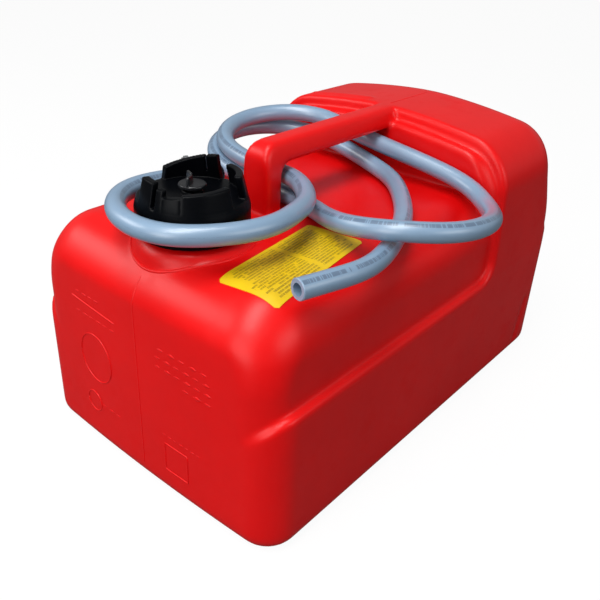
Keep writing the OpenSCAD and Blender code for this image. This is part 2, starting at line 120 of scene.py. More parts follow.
def makeGrainGroup():
    # Moulded plastic: fine orange peel, slow unevenness of the wall and faint rubbed patches
    g = grain
    group, given, out = nodeGroup(
        "mouldedGrain", {"Grain Scale": 900.0, "Wave Scale": 22.0, "Rub Scale": 40.0, "Rub Amount": 0.5},
        ("Height", "Tone", "Rub"))
    where = wire(group, "ShaderNodeTexCoord").outputs["Object"]
    peel = noise(group, where, given["Grain Scale"], g["peelDetail"], g["peelRough"])
    wave = noise(group, where, given["Wave Scale"], g["waveDetail"])
    height = math2(group, "ADD", math2(group, "MULTIPLY", peel, g["peelShare"]),
                   math2(group, "MULTIPLY", wave, g["waveShare"]))
    group.links.new(height, out["Height"])
    tone = noise(group, where, given["Wave Scale"], g["toneDetail"], g["toneRough"])
    group.links.new(tone, out["Tone"])
    streak = noise(group, where, given["Rub Scale"], g["rubDetail"], g["rubRough"])
    rub = math2(group, "MULTIPLY", spread(group, streak, g["rubFrom"], g["rubTo"]), given["Rub Amount"])
    group.links.new(rub, out["Rub"])
    return group


grainGroup = makeGrainGroup()


def makeMaterial(name, color, shade, rough, bump, depth, own, metallic=0.0, coat=0.0, coatRough=0.12,
                 ior=1.5):
    # color to shade by the slow tone, roughness up where rubbed, bump from the grain; own sets the grain
    material = bpy.data.materials.new(name)
    material.use_nodes = True
    tree = material.node_tree
    tree.nodes.clear()
    group = wire(tree, "ShaderNodeGroup", node_tree=grainGroup)
    for key, value in own.items():
        group.inputs[key].default_value = value
    share = spread(tree, group.outputs["Tone"], grain["toneFrom"], grain["toneTo"])
    tone = wire(tree, "ShaderNodeMix", {"Factor": share}, data_type="RGBA")
    tone.inputs["A"].default_value = (*color, 1)
    tone.inputs["B"].default_value = (*shade, 1)
    roughness = math2(tree, "ADD", math2(tree, "MULTIPLY", group.outputs["Rub"], grain["rubDulls"]), rough)
    surface = wire(tree, "ShaderNodeBump", {"Height": group.outputs["Height"], "Strength": bump,
                                            "Distance": depth})
    shader = wire(tree, "ShaderNodeBsdfPrincipled", {
        "Base Color": tone.outputs["Result"], "Roughness": roughness, "Normal": surface.outputs["Normal"],
        "Metallic": metallic, "Coat Weight": coat, "Coat Roughness": coatRough, "IOR": ior})
    wire(tree, "ShaderNodeOutputMaterial", {"Surface": shader.outputs["BSDF"]})
    return material, tree, shader, tone


finish = {
    "red": {"color": (0.70, 0.0015, 0.002), "shade": (0.63, 0.001, 0.0015), "rough": 0.36, "ior": 1.38,
            "bump": 0.09, "depth": 0.0006,
            "own": {"Grain Scale": 1400.0, "Wave Scale": 16.0, "Rub Amount": 0.35}},
    "black": {"color": (0.0006, 0.0009, 0.0016), "shade": (0.0012, 0.0015, 0.0024), "rough": 0.32,
              "ior": 1.18, "bump": 0.1, "depth": 0.0003,
              "own": {"Grain Scale": 2600.0, "Wave Scale": 60.0, "Rub Amount": 0.7}},
    # a lighter copy of the cap's black: painted highlight, the whole screw lifted for the light its wing tops
    # catch
    "vent": {"color": (0.006, 0.0065, 0.0085), "shade": (0.009, 0.0095, 0.011), "rough": 0.28,
             "bump": 0.1, "depth": 0.0002,
             "own": {"Grain Scale": 2600.0, "Wave Scale": 80.0, "Rub Amount": 0.7}},
    "white": {"color": (0.72, 0.71, 0.66), "shade": (0.66, 0.65, 0.6), "rough": 0.4,
              "bump": 0.06, "depth": 0.0003,
              "own": {"Grain Scale": 2000.0, "Wave Scale": 50.0, "Rub Amount": 0.3}},
    "seal": {"color": (0.02, 0.02, 0.02), "shade": (0.03, 0.03, 0.03), "rough": 0.6,
             "bump": 0.2, "depth": 0.0002,
             "own": {"Grain Scale": 3000.0, "Wave Scale": 90.0, "Rub Amount": 0.4}},
    "steel": {"color": (0.6, 0.61, 0.63), "shade": (0.5, 0.51, 0.53), "rough": 0.28, "metallic": 1.0,
              "bump": 0.05, "depth": 0.0001,
              "own": {"Grain Scale": 5000.0, "Wave Scale": 120.0}},
    "hose": {"color": (0.195, 0.295, 0.415), "shade": (0.175, 0.27, 0.385), "rough": 0.36, "coat": 0.9,
             "coatRough": 0.3, "bump": 0.05, "depth": 0.0003,
             "own": {"Grain Scale": 1800.0, "Wave Scale": 40.0, "Rub Amount": 0.6}},
    "label": {"color": (0.74, 0.5, 0.006), "shade": (0.68, 0.44, 0.005), "rough": 0.36,
              "bump": 0.05, "depth": 0.0002,
              "own": {"Grain Scale": 900.0, "Wave Scale": 60.0, "Rub Amount": 0.4}},
}
materials = {name: makeMaterial(name, **values) for name, values in finish.items()}


def paint(obj, finishName):
    obj.data.materials.clear()
    obj.data.materials.append(materials[finishName][0])


def dress(obj, body, slotName, finishName, *nodes):
    paint(obj, finishName)
    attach(obj, body)
    if nodes:
        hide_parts(*nodes)


printing = {
    "rowShift": 7.31,  # how far apart two rows lie in the noise
    "marks": {"Word": (0.36, 1.7), "Letter": (0.43, 9.2)},  # ink above this noise, at this height in it
    "hose": {"ink": (0.045, 0.07, 0.12), "from": 0.61, "to": 0.68, "word": 130.0, "letter": 900.0,
             "strength": 0.6},
    "label": {"ink": (0.2, 0.125, 0.006), "row": 2.3, "height": 0.6, "word": 0.22, "letter": 3.4,
              "margin": (46.5, 19.0), "columnAt": 4.0, "columnGap": 2.0,
              "raggedBy": 22.0, "raggedFrom": 7.0, "raggedNoise": (3.7, 4.1), "strength": 0.72},
}


def makePrintGroup():
    # Rows of short marks that stand for printing: 1 on a mark, from a place along and the row's number
    group, given, out = nodeGroup(
        "printMarks", {"Along": 0.0, "Row": 0.0, "Word": 1.0, "Letter": 1.0}, ("Mark",))
    mark = []
    for rate, (above, height) in printing["marks"].items():
        x = math2(group, "MULTIPLY", given["Along"], given[rate])
        y = math2(group, "MULTIPLY", given["Row"], printing["rowShift"])
        where = wire(group, "ShaderNodeCombineXYZ", {"X": x, "Y": y, "Z": height}).outputs["Vector"]
        mark.append(math2(group, "GREATER_THAN", noise(group, where, 1.0, 1.0), above))
    group.links.new(math2(group, "MULTIPLY", *mark), out["Mark"])
    return group


printGroup = makePrintGroup()


def inkOver(name, ink, mask):
    # Puts the ink's colour over a material where the mask is 1
    _, tree, shader, tone = materials[name]
    mix = wire(tree, "ShaderNodeMix", {"Factor": mask(tree)}, data_type="RGBA")
    tree.links.new(tone.outputs["Result"], mix.inputs["A"])
    mix.inputs["B"].default_value = (*ink, 1)
    tree.links.new(mix.outputs["Result"], shader.inputs["Base Color"])


def inside(tree, value, low, high):
    above = math2(tree, "GREATER_THAN", value, low)
    return math2(tree, "MULTIPLY", above, math2(tree, "LESS_THAN", value, high))


def placeOf(tree, attribute):
    place = wire(tree, "ShaderNodeAttribute", attribute_name=attribute).outputs["Vector"]
    return wire(tree, "ShaderNodeSeparateXYZ", {0: place}).outputs


def hoseMarks(tree):
    ink, place = printing["hose"], placeOf(tree, "hosePlace")
    marks = wire(tree, "ShaderNodeGroup", {"Along": place["X"], "Word": ink["word"], "Letter": ink["letter"]},
                 node_tree=printGroup)
    mask = math2(tree, "MULTIPLY", marks.outputs["Mark"], inside(tree, place["Y"], ink["from"], ink["to"]))
    return math2(tree, "MULTIPLY", mask, ink["strength"])


def labelMarks(tree):
    ink, place = printing["label"], placeOf(tree, "labelPlace")
    rows = math2(tree, "DIVIDE", place["Y"], ink["row"])
    row, part = math2(tree, "FLOOR", rows), math2(tree, "FRACT", rows)
    marks = wire(tree, "ShaderNodeGroup", {"Along": place["X"], "Row": row, "Word": ink["word"],
                                           "Letter": ink["letter"]}, node_tree=printGroup)
    reach, half = ink["margin"]
    mask = math2(tree, "MULTIPLY", marks.outputs["Mark"], math2(tree, "LESS_THAN", part, ink["height"]))
    mask = math2(tree, "MULTIPLY", mask, inside(tree, place["Y"], -half, half))
    away = math2(tree, "ABSOLUTE", math2(tree, "SUBTRACT", place["X"], ink["columnAt"]))
    mask = math2(tree, "MULTIPLY", mask, math2(tree, "GREATER_THAN", away, ink["columnGap"]))
    # rows of unequal length
    apart, side = ink["raggedNoise"]
    ends = wire(tree, "ShaderNodeCombineXYZ", {"X": math2(tree, "MULTIPLY", row, apart), "Y": side})
    ragged = math2(tree, "MULTIPLY", noise(tree, ends.outputs["Vector"], 1.0, 0.0), ink["raggedBy"])
    limit = math2(tree, "SUBTRACT", reach + ink["raggedFrom"], ragged)
    fits = math2(tree, "LESS_THAN", math2(tree, "ABSOLUTE", place["X"]), math2(tree, "MINIMUM", limit, reach))
    return math2(tree, "MULTIPLY", math2(tree, "MULTIPLY", mask, fits), ink["strength"])


inkOver("hose", printing["hose"]["ink"], hoseMarks)
inkOver("label", printing["label"]["ink"], labelMarks)

print("mesh tools")
sharpEdge = 40.0  # degrees, where the shading of the hose's and the label's faces breaks


def makeObject(name, points, faces, normals=None):
    # points in millimetres
    mesh = bpy.data.meshes.new(name)
    mesh.from_pydata((np.asarray(points) * mm).tolist(), [], [list(map(int, f)) for f in faces])
    mesh.validate()
    mesh.shade_smooth()
    if normals is not None:
        mesh.normals_split_custom_set_from_vertices([tuple(n) for n in normals])
    obj = bpy.data.objects.new(name, mesh)
    bpy.context.scene.collection.objects.link(obj)
    return obj


def keepPlace(obj, name, place):
    # A pair of numbers on each point, which a material reads
    attribute = obj.data.attributes.new(name, "FLOAT2", "POINT")
    attribute.data.foreach_set("vector", place.ravel())


def roundCut(a, b, r):
    # Inside both, with an edge of radius r
    return np.minimum(np.maximum(a, b), -r) + np.hypot(np.maximum(a + r, 0), np.maximum(b + r, 0))


def roundJoin(a, b, r):
    # Inside either, with a fillet of radius r
    return np.maximum(np.minimum(a, b), r) - np.hypot(np.maximum(r - a, 0), np.maximum(r - b, 0))


def ease(value, low, high):
    t = np.clip((value - low) / (high - low), 0, 1)
    return t * t * (3 - 2 * t)


def slotShape(u, v, length, width):
    # Distance to a slot with round ends, its length along u
    return np.hypot(np.maximum(np.abs(u) - (length - width) / 2, 0), v) - width / 2


def wholeTurn(count):
    return np.arange(count) * 2 * math.pi / count


class Field:
    # A shape as signed distances on a grid, softened by about `soft` at its edges
    def __init__(self, shape, low, high, step, soft=0.0):
        margin = 3  # steps left free all round
        self.step = step
        self.low = np.array(low, float) - margin * step
        counts = np.ceil((np.array(high, float) - low) / step).astype(int) + 2 * margin + 1
        ticks = [self.low[i] + step * np.arange(counts[i]) for i in range(3)]
        x, y, z = ticks[0][:, None, None], ticks[1][None, :, None], ticks[2][None, None, :]
        self.values = np.broadcast_to(shape(x, y, z), counts).astype(np.float32)
        if soft:
            self.soften(soft)

    def soften(self, soft):
        # Gaussian blur along each axis, out to 2.5 times its width
        reach = math.ceil(2.5 * soft / self.step)
        weights = np.exp(-0.5 * (np.arange(-reach, reach + 1) * self.step / soft) ** 2)
        weights /= weights.sum()
        for axis in range(3):
            wide = [(reach, reach) if a == axis else (0, 0) for a in range(3)]
            padded = np.pad(self.values, wide, mode="edge")
            count = self.values.shape[axis]
            self.values = sum(np.float32(w) * np.take(padded, np.arange(k, k + count), axis=axis)
                              for k, w in enumerate(weights))

    def at(self, points):
        # Distance at each point, from the eight grid values round it
        place = (points - self.low) / self.step
        cell = np.clip(np.floor(place).astype(int), 0, np.array(self.values.shape) - 2)
        part = place - cell
        total = np.zeros(len(points))
        for dx in (0, 1):
            for dy in (0, 1):
                for dz in (0, 1):
                    weight = np.prod(np.where([dx, dy, dz], part, 1 - part), axis=1)
                    total += weight * self.values[cell[:, 0] + dx, cell[:, 1] + dy, cell[:, 2] + dz]
        return total

    def slope(self, points):
        h = 0.7 * self.step
        return np.stack([(self.at(points + h * e) - self.at(points - h * e)) / (2 * h)
                         for e in np.eye(3)], axis=1)

    def normals(self, points):
        g = self.slope(points)
        return g / np.maximum(np.linalg.norm(g, axis=1), 1e-9)[:, None]

    def settle(self, points, rounds=3, along=None):
        # Moves points onto the surface, straight or along a direction
        leastRate = 0.2
        for _ in range(rounds):
            g = self.slope(points)
            if along is None:
                points = points - (self.at(points) / np.maximum((g * g).sum(1), 1e-6))[:, None] * g
            else:
                rate = g @ np.array(along, float)
                rate = np.where(np.abs(rate) < leastRate, leastRate, rate)
                points = points - (self.at(points) / rate)[:, None] * np.array(along, float)
        return points

    def mesh(self):
        # One point for each cell that the surface crosses, one quad for each crossed edge
        f, shape = self.values, np.array(self.values.shape)
        cellIds, spots, quads = [], [], []
        for axis in range(3):
            u, v = (axis + 1) % 3, (axis + 2) % 3
            low = np.take(f, np.arange(shape[axis] - 1), axis=axis)
            high = np.take(f, np.arange(1, shape[axis]), axis=axis)
            edge = np.argwhere((low < 0) != (high < 0))
            a, b = low[tuple(edge.T)], high[tuple(edge.T)]
            spot = edge.astype(float)
            spot[:, axis] += a / (a - b)
            ring = []
            for du, dv in ((0, 0), (1, 0), (1, 1), (0, 1)):
                cell = edge.copy()
                cell[:, u] -= du
                cell[:, v] -= dv
                ids = np.ravel_multi_index(tuple(cell.T), tuple(shape))
                ring.append(ids)
                cellIds.append(ids)
                spots.append(spot)
            ring = np.stack(ring, axis=1)
            quads.append(np.where((a < 0)[:, None], ring, ring[:, ::-1]))
        cellIds, spots, quads = np.concatenate(cellIds), np.concatenate(spots), np.concatenate(quads)
        unique, inverse = np.unique(cellIds, return_inverse=True)
        count = np.bincount(inverse)
        points = np.stack([np.bincount(inverse, weights=spots[:, k]) / count for k in range(3)], axis=1)
        return self.low + points * self.step, np.searchsorted(unique, quads)


def mouldedPiece(name, shape, low, high, step, soft=0.0):
    field = Field(shape, low, high, step, soft)
    points, faces = field.mesh()
    points = field.settle(points)
    return makeObject(name, points, faces, field.normals(points)), field


def turnedMesh(name, profile, center, sides, bumpOut=None):
    # A closed profile of (radius, height) turned round a vertical axis.
    # bumpOut(angles, radii, heights) gives changed radii
    profile = np.array(profile, float)
    angles = wholeTurn(sides)
    radii = np.tile(profile[:, 0], (sides, 1))
    heights = np.tile(profile[:, 1], (sides, 1))
    if bumpOut:
        radii = bumpOut(angles[:, None], radii, heights)
    points = np.stack([center[0] + radii * np.cos(angles)[:, None],
                       center[1] + radii * np.sin(angles)[:, None], heights], axis=2).reshape(-1, 3)
    n = len(profile)
    faces = []
    for i in range(sides):
        for j in range(n):
            a, b = i * n + j, i * n + (j + 1) % n
            c, d = ((i + 1) % sides) * n + (j + 1) % n, ((i + 1) % sides) * n + j
            faces.append((a, d, c, b))
    return makeObject(name, points, faces)


def combine(target, other, operation):
    # A boolean, kept as the target's own mesh; the other is used up
    modifier = target.modifiers.new("cut", "BOOLEAN")
    modifier.operation = operation
    modifier.solver = "MANIFOLD"
    modifier.object = other
    done = bpy.data.meshes.new_from_object(target.evaluated_get(bpy.context.evaluated_depsgraph_get()))
    target.modifiers.clear()
    old = target.data
    target.data = done
    bpy.data.meshes.remove(old)
    bpy.data.meshes.remove(other.data)


print("hose")
hose = {
    "outer": 13.5,
    "bore": 8.0,
    "chamfer": 0.5,
    "stub": 16.0,  # straight stretch on the fitting
    "stubSteps": 6,
    "tail": 24.0,  # straight stretch at the free end
    "tailSteps": 8,
    "sides": 28,
    "steps": 14,  # rings between two route points
    "boreSteps": 6,
    "route": [
        (-110, 45, 196), (-128, 52, 196), (-159, 48, 198), (-187, 19, 199), (-191, -32, 200),
        (-139, -66, 200), (-101, -56, 198), (-74, -46, 196), (-50, -14, 198), (-51, 23, 195),
        (-43, 72, 199), (-11, 97, 203), (24, 97, 206), (51, 78, 208), (62.5, 48, 207),
        (57, 14, 201), (58, -35, 195), (61, -77, 188), (56, -101, 183), (37, -125, 179),
        (-10, -149, 192), (-49, -146, 196), (-77, -120, 198), (-83, -80, 191), (-57.5, -42, 180),
        (-53, -24, 182.5), (-46, 28, 180), (-47, 72, 185), (-24, 101, 190), (11, 110, 193),
        (44, 97, 193), (63, 66, 191), (58, 25, 187), (48, -15, 182), (36, -41, 181),
        (5, -69, 181), (-26, -91, 181), (-64, -106, 179), (-103, -118, 182), (-133, -111, 183)],
}


def hoseLine():
    # Middle line from the fitting to the free end: a cubic spline between two straight stretches
    route = np.array(hose["route"], float)
    pulls = np.vstack([2 * route[0] - route[1], route, 2 * route[-1] - route[-2]])
    line = []
    for i in range(len(route) - 1):
        a, b, c, d = pulls[i:i + 4]
        for u in np.arange(hose["steps"]) / hose["steps"]:
            line.append(((1 - u) ** 3 * a + (3 * u ** 3 - 6 * u ** 2 + 4) * b
                         + (3 * u + 3 * u ** 2 - 3 * u ** 3 + 1) * c + u ** 3 * d) / 6)
    line.append(route[-1])
    out = (route[1] - route[0]) / np.linalg.norm(route[1] - route[0])
    back = (route[-1] - route[-2]) / np.linalg.norm(route[-1] - route[-2])
    stub, tail = hose["stubSteps"], hose["tailSteps"]
    start = [route[0] - out * hose["stub"] * (1 - k / stub) for k in range(stub)]
    end = [route[-1] + back * hose["tail"] * (k + 1) / tail for k in range(tail)]
    return np.array(start + line + end)


def directions(line):
    run = np.gradient(line, axis=0)
    return run / np.linalg.norm(run, axis=1)[:, None]


def sweepRings(line, radius, sides):
    # Rings that don't twist, square to the line
    run = directions(line)
    side = np.cross(run[0], (0, 0, 1))
    angles = wholeTurn(sides)
    rings = []
    for at, along in zip(line, run):
        side = side - along * (side @ along)
        side /= np.linalg.norm(side)
        up = np.cross(along, side)
        rings.append(at + radius * (np.cos(angles)[:, None] * side + np.sin(angles)[:, None] * up))
    return rings


def makeHose():
    line = hoseLine()
    sides, outer, chamfer, drill = hose["sides"], hose["outer"] / 2, hose["chamfer"], hose["boreSteps"]
    skin = sweepRings(line, outer, sides)
    bore = sweepRings(line, hose["bore"] / 2, sides)
    run = directions(line)
    faceStart = line[0] + (skin[0] - line[0]) * (outer - chamfer) / outer
    faceEnd = line[-1] + (skin[-1] - line[-1]) * (outer - chamfer) / outer
    skin[0] = skin[0] + run[0] * chamfer
    skin[-1] = skin[-1] - run[-1] * chamfer
    # up the first bore, over the skin and down the last bore, with each bore closed at its bottom
    rings = bore[drill:0:-1] + [bore[0], faceStart] + skin + [faceEnd, bore[-1]] + bore[-2:-2 - drill:-1]
    points = np.concatenate(rings + [[line[drill]], [line[-1 - drill]]])
    faces = []
    for j in range(len(rings) - 1):
        for i in range(sides):
            k = (i + 1) % sides
            faces.append((j * sides + i, j * sides + k, (j + 1) * sides + k, (j + 1) * sides + i))
    first, last, n = len(points) - 2, len(points) - 1, (len(rings) - 1) * sides
    for i in range(sides):
        k = (i + 1) % sides
        faces.append((first, k, i))
        faces.append((last, n + i, n + k))
    obj = makeObject("fuelHose", points, faces)
    obj.data.set_sharp_from_angle(angle=math.radians(sharpEdge))
    gaps = np.linalg.norm(np.diff(line, axis=0), axis=1)
    # where each ring's points are, in metres along the hose and turns round it, for the printing
    along = np.concatenate([[0], np.cumsum(gaps)])
    place = np.zeros((len(points), 2), np.float32)
    order = list(range(drill, 0, -1)) + [0, 0] + list(range(len(line))) + [len(line) - 1] * 2
    order += list(range(len(line) - 2, len(line) - 2 - drill, -1))
    for j, k in enumerate(order):
        place[j * sides:(j + 1) * sides, 0] = along[k] * mm
        place[j * sides:(j + 1) * sides, 1] = np.arange(sides) / sides
    keepPlace(obj, "hosePlace", place)
    dress(obj, "tank", "hose_rubber", "hose", "fuel_hose", "hose_end")


makeHose()

print("tank")
tank = {
    "length": 380.0, "width": 238.0, "height": 225.0, "wall": 3.0,
    "deck": 174.0,  # top of the front part
    "ledge": 107.0, "ledgeRadius": 16.0,  # top of the wide lower band
    "bandOut": 6.3,
    "cornerRadius": 22.0, "bottomRadius": 12.0, "deckRadius": 36.0, "blockRadius": 33.0, "endRadius": 42.0,
    "frontBow": 3.5,
    "frontRounds": (120.0, 165.0), "endRounds": (130.0, 195.0),  # heights where the corners grow rounder
    "blockStart": 75.0,
    "blockInside": 110.0,  # where the deck and the shelf end within the block
    "shelfStart": 67.0, "shelfDrop": 10.0, "shelfCorner": 14.0, "shelfCornerAcross": (85.0, 105.0),
    "sideDraft": 2.5, "draftTop": 184.0,
    "rearStep": 122.0, "rearStepBelow": 2.0, "rearStepAbove": 4.0, "rearIn": (3.0, 2.0),
    "crownDrop": 8.0, "crownAt": 83.5, "crownPower": 1.7, "crownSoft": 2.0,
    "edge": 3.0,  # small edges that aren't told apart
    "step": 2.2, "soft": 1.5, "insideStep": 5.0,
    "sharp": 55.0,  # degrees, where the shading breaks at the cut edges
}
handle = {"start": -80.0, "end": 90.0, "pillar": 16.0, "thick": 16.0, "width": 26.0, "topWidth": 16.0,
          "slope": 13.0, "topRadius": 12.0, "fingerRadius": 8.0, "edge": 3.0, "root": 6.0}
rib = {"x": 86.0, "y": 53.0, "length": 66.0, "width": 8.0, "height": 1.5, "edge": 1.0, "bottom": 200.0}
groove = {"x": 157.0, "z": 34.0, "length": 46.0, "width": 8.0, "depth": 1.5, "lean": 10.0}
neck = {"x": -137.0, "bore": 24.0, "radius": 29.0, "top": 200.0, "sides": 96,
        "footRadius": 39.5, "footTop": 34.0, "footHeight": 6.0, "footEdge": 2.0, "footTopEdge": 0.5,
        "footBottom": 150.0, "root": 2.0, "rimEdge": 0.6, "ringGap": 0.6,
        "thread": 0.9, "threadFlank": (0.6, 1.8), "threadDown": 4.0, "threadFade": 2.0, "pitch": 7.0,
        "turns": 1.6}
outletHole = {"x": -86.24, "y": 34.44, "radius": 8.4, "sides": 48}
# the bars that cut the neck's and the outlet's holes: how far they reach below the neck's root and over its
# rim, how much narrower than its bore the neck's is, and a radius that stands for the axis
cutting = {"past": 6.0, "over": 2.0, "gap": 0.02, "axis": 0.001}
far = 50.0  # a distance that keeps a shape out


def crownTop(y):
    across = np.sqrt(y * y + tank["crownSoft"] ** 2)
    return tank["height"] - tank["crownDrop"] * (across / tank["crownAt"]) ** tank["crownPower"]


def bodyShape(x, y, z):
    t = tank
    halfLength, halfWidth = t["length"] / 2, t["width"] / 2
    side = np.abs(y)
    lean = t["sideDraft"] * np.clip((z - t["ledge"]) / (t["draftTop"] - t["ledge"]), 0, 1)
    inner = halfWidth - t["bandOut"]
    block = roundCut(side - halfWidth + lean, z - crownTop(y), t["blockRadius"])
    profile = roundJoin(z - t["ledge"], t["blockStart"] - x, t["ledgeRadius"])
    block = roundCut(block, profile, t["edge"])
    deck = roundCut(side - inner, z - t["deck"], t["deckRadius"])
    shelf = roundCut(side - inner, z - crownTop(y) + t["shelfDrop"], t["blockRadius"])
    corner = t["edge"] + (t["shelfCorner"] - t["edge"]) * ease(side, *t["shelfCornerAcross"])
    shelf = roundCut(shelf, t["shelfStart"] - x, corner)
    within = x - t["blockInside"]
    form = np.minimum(block, np.minimum(np.maximum(deck, within), np.maximum(shelf, within)))
    front = -x - halfLength + t["frontBow"] * (y / halfWidth) ** 2
    frontRadius = t["cornerRadius"] + (t["deckRadius"] - t["cornerRadius"]) * ease(z, *t["frontRounds"])
    form = roundCut(form, front, frontRadius)
    stepIn, draftIn = t["rearIn"]
    rearIn = stepIn * ease(z, t["rearStep"] - t["rearStepBelow"], t["rearStep"] + t["rearStepAbove"])
    rearIn = rearIn + draftIn * np.clip((z - t["rearStep"]) / (t["draftTop"] - t["rearStep"]), 0, 1)
    rearRadius = t["cornerRadius"] + (t["endRadius"] - t["cornerRadius"]) * ease(z, *t["endRounds"])
    form = roundCut(form, x - halfLength + rearIn, rearRadius)
    return roundCut(form, -z, t["bottomRadius"])


def handleShape(x, y, z):
    h, top = handle, tank["height"]
    outer = roundCut(h["start"] - x, z - top, h["topRadius"])
    outer = np.maximum(outer, np.maximum(x - h["end"], tank["deck"] - h["root"] - z))
    gap = roundCut(h["start"] + h["pillar"] - x, z - top + h["thick"], h["fingerRadius"])
    profile = roundCut(outer, -gap, h["edge"])
    fall = (h["width"] - h["topWidth"]) / 2
    size = math.hypot(fall, h["slope"])
    slant = ((np.abs(y) - h["width"] / 2) * h["slope"] + (z - top + h["slope"]) * fall) / size
    section = roundCut(np.abs(y) - h["width"] / 2, slant, h["edge"])
    return roundCut(profile, section, h["edge"])


def ribShape(x, y, z):
    outline = slotShape(y - rib["y"], x - rib["x"], rib["length"], rib["width"])
    bar = roundCut(outline, z - crownTop(y) - rib["height"], rib["edge"])
    return bar + np.where(z < rib["bottom"], far, 0)


def grooveShape(x, y, z):
    lean = math.radians(groove["lean"])
    u = (x - groove["x"]) * math.sin(lean) + (z - groove["z"]) * math.cos(lean)
    v = (x - groove["x"]) * math.cos(lean) - (z - groove["z"]) * math.sin(lean)
    outline = slotShape(u, v, groove["length"], groove["width"])
    return np.maximum(outline, y + tank["width"] / 2 - groove["depth"])


def footShape(x, y, z):
    n = neck
    radius = np.hypot(x - n["x"], y)
    run = n["footRadius"] - n["footTop"]
    size = math.hypot(run, n["footHeight"])
    slant = ((radius - n["footRadius"]) * n["footHeight"] + (z - tank["deck"]) * run) / size
    foot = roundCut(radius - n["footRadius"], slant, n["footEdge"])
    foot = roundCut(foot, z - tank["deck"] - n["footHeight"], n["footTopEdge"])
    return np.maximum(foot, n["footBottom"] - z)


def outsideShape(x, y, z):
    form = np.minimum(bodyShape(x, y, z), handleShape(x, y, z))
    form = np.minimum(form, ribShape(x, y, z))
    form = np.minimum(form, footShape(x, y, z))
    return np.maximum(form, -grooveShape(x, y, z))


def insideShape(x, y, z):
    return bodyShape(x, y, z) + tank["wall"]


def neckThread(angles, radii, heights):
    # One start of a low rounded thread on the outside
    n = neck
    high, fade = n["top"] - n["threadDown"], n["threadFade"]
    low = high - n["pitch"] * n["turns"]
    rise = (heights - high) / n["pitch"] + angles / (2 * math.pi)
    near = np.abs(rise - np.round(rise)) * n["pitch"]
    inBand = ease(heights, low, low + fade) * (1 - ease(heights, high, high + fade))
    ridge = n["thread"] * (1 - ease(near, *n["threadFlank"])) * inBand
    outside = radii > (n["bore"] + n["radius"]) / 2
    return np.where(outside, radii + ridge, radii)


def roundTool(name, radius, low, high, center, sides):
    # A round bar that cuts a hole
    axis = cutting["axis"]
    return turnedMesh(name, [(axis, low), (radius, low), (radius, high), (axis, high)], center, sides)


def makeNeckTube(base):
    n = neck
    core, top, edge = n["radius"] - n["thread"], n["top"], n["rimEdge"]
    heights = np.arange(base, top - 1.5 * edge, n["ringGap"])
    profile = [(n["bore"] + edge, top), (n["bore"], top - edge), (n["bore"], base)]
    profile += [(core, h) for h in heights] + [(core, top - edge), (core - edge, top)]
    return turnedMesh("tube", profile[::-1], (n["x"], 0), n["sides"], neckThread)


def smoothTank(body, field):
    # The field's own normals where the surface is still the moulding's, away from the neck and the outlet
    n, o = neck, outletHole
    onSurface, neckClear, deckClear, holeClear = 0.25, 1.0, 1.0, 3.0
    spots = np.zeros(len(body.data.vertices) * 3, np.float32)
    body.data.vertices.foreach_get("co", spots)
    points = spots.reshape(-1, 3).astype(float) / mm
    fromNeck = np.hypot(points[:, 0] - n["x"], points[:, 1])
    fromHole = np.hypot(points[:, 0] - o["x"], points[:, 1] - o["y"])
    clear = np.abs(field.at(points)) < onSurface
    clear &= ~((fromNeck < n["footTop"] - neckClear) & (points[:, 2] > tank["deck"] + deckClear))
    clear &= fromHole > o["radius"] + holeClear
    normals = np.where(clear[:, None], field.normals(points), 0)
    body.data.shade_smooth()
    body.data.set_sharp_from_angle(angle=math.radians(tank["sharp"]))
    body.data.normals_split_custom_set_from_vertices([tuple(v) for v in normals])


def makeTank():
    half = np.array([tank["length"], tank["width"], 0]) / 2
    low, high = (-half[0], -half[1], 0), (half[0], half[1], tank["height"])
    body, field = mouldedPiece("tankBody", outsideShape, low, high, tank["step"], tank["soft"])
    hollow, _ = mouldedPiece("hollow", insideShape, low, high, tank["insideStep"])
    combine(body, hollow, "DIFFERENCE")
    n, o, c = neck, outletHole, cutting
    base, top = tank["deck"] - n["root"], n["top"]
    tube = makeNeckTube(base)
    drill = roundTool("drill", n["bore"] - c["gap"], base - c["past"], top + c["over"], (n["x"], 0),
                      n["sides"])
    combine(body, drill, "DIFFERENCE")
    combine(body, tube, "UNION")
    hole = roundTool("hole", o["radius"], base - c["past"], top, (o["x"], o["y"]), o["sides"])
    combine(body, hole, "DIFFERENCE")
    smoothTank(body, field)
    dress(body, "tank", "red_polyethylene", "red", "tank_body")
    return field


tankField = makeTank()


beadSection = [(-1, -0.8), (-0.75, 0.25), (-0.35, 0.85), (0, 1), (0.35, 0.85), (0.75, 0.25), (1, -0.8)]
bead = {"gap": 1.5, "leastFade": 0.15, "rounds": 6, "closedWithin": 0.1}  # gap is from point to point


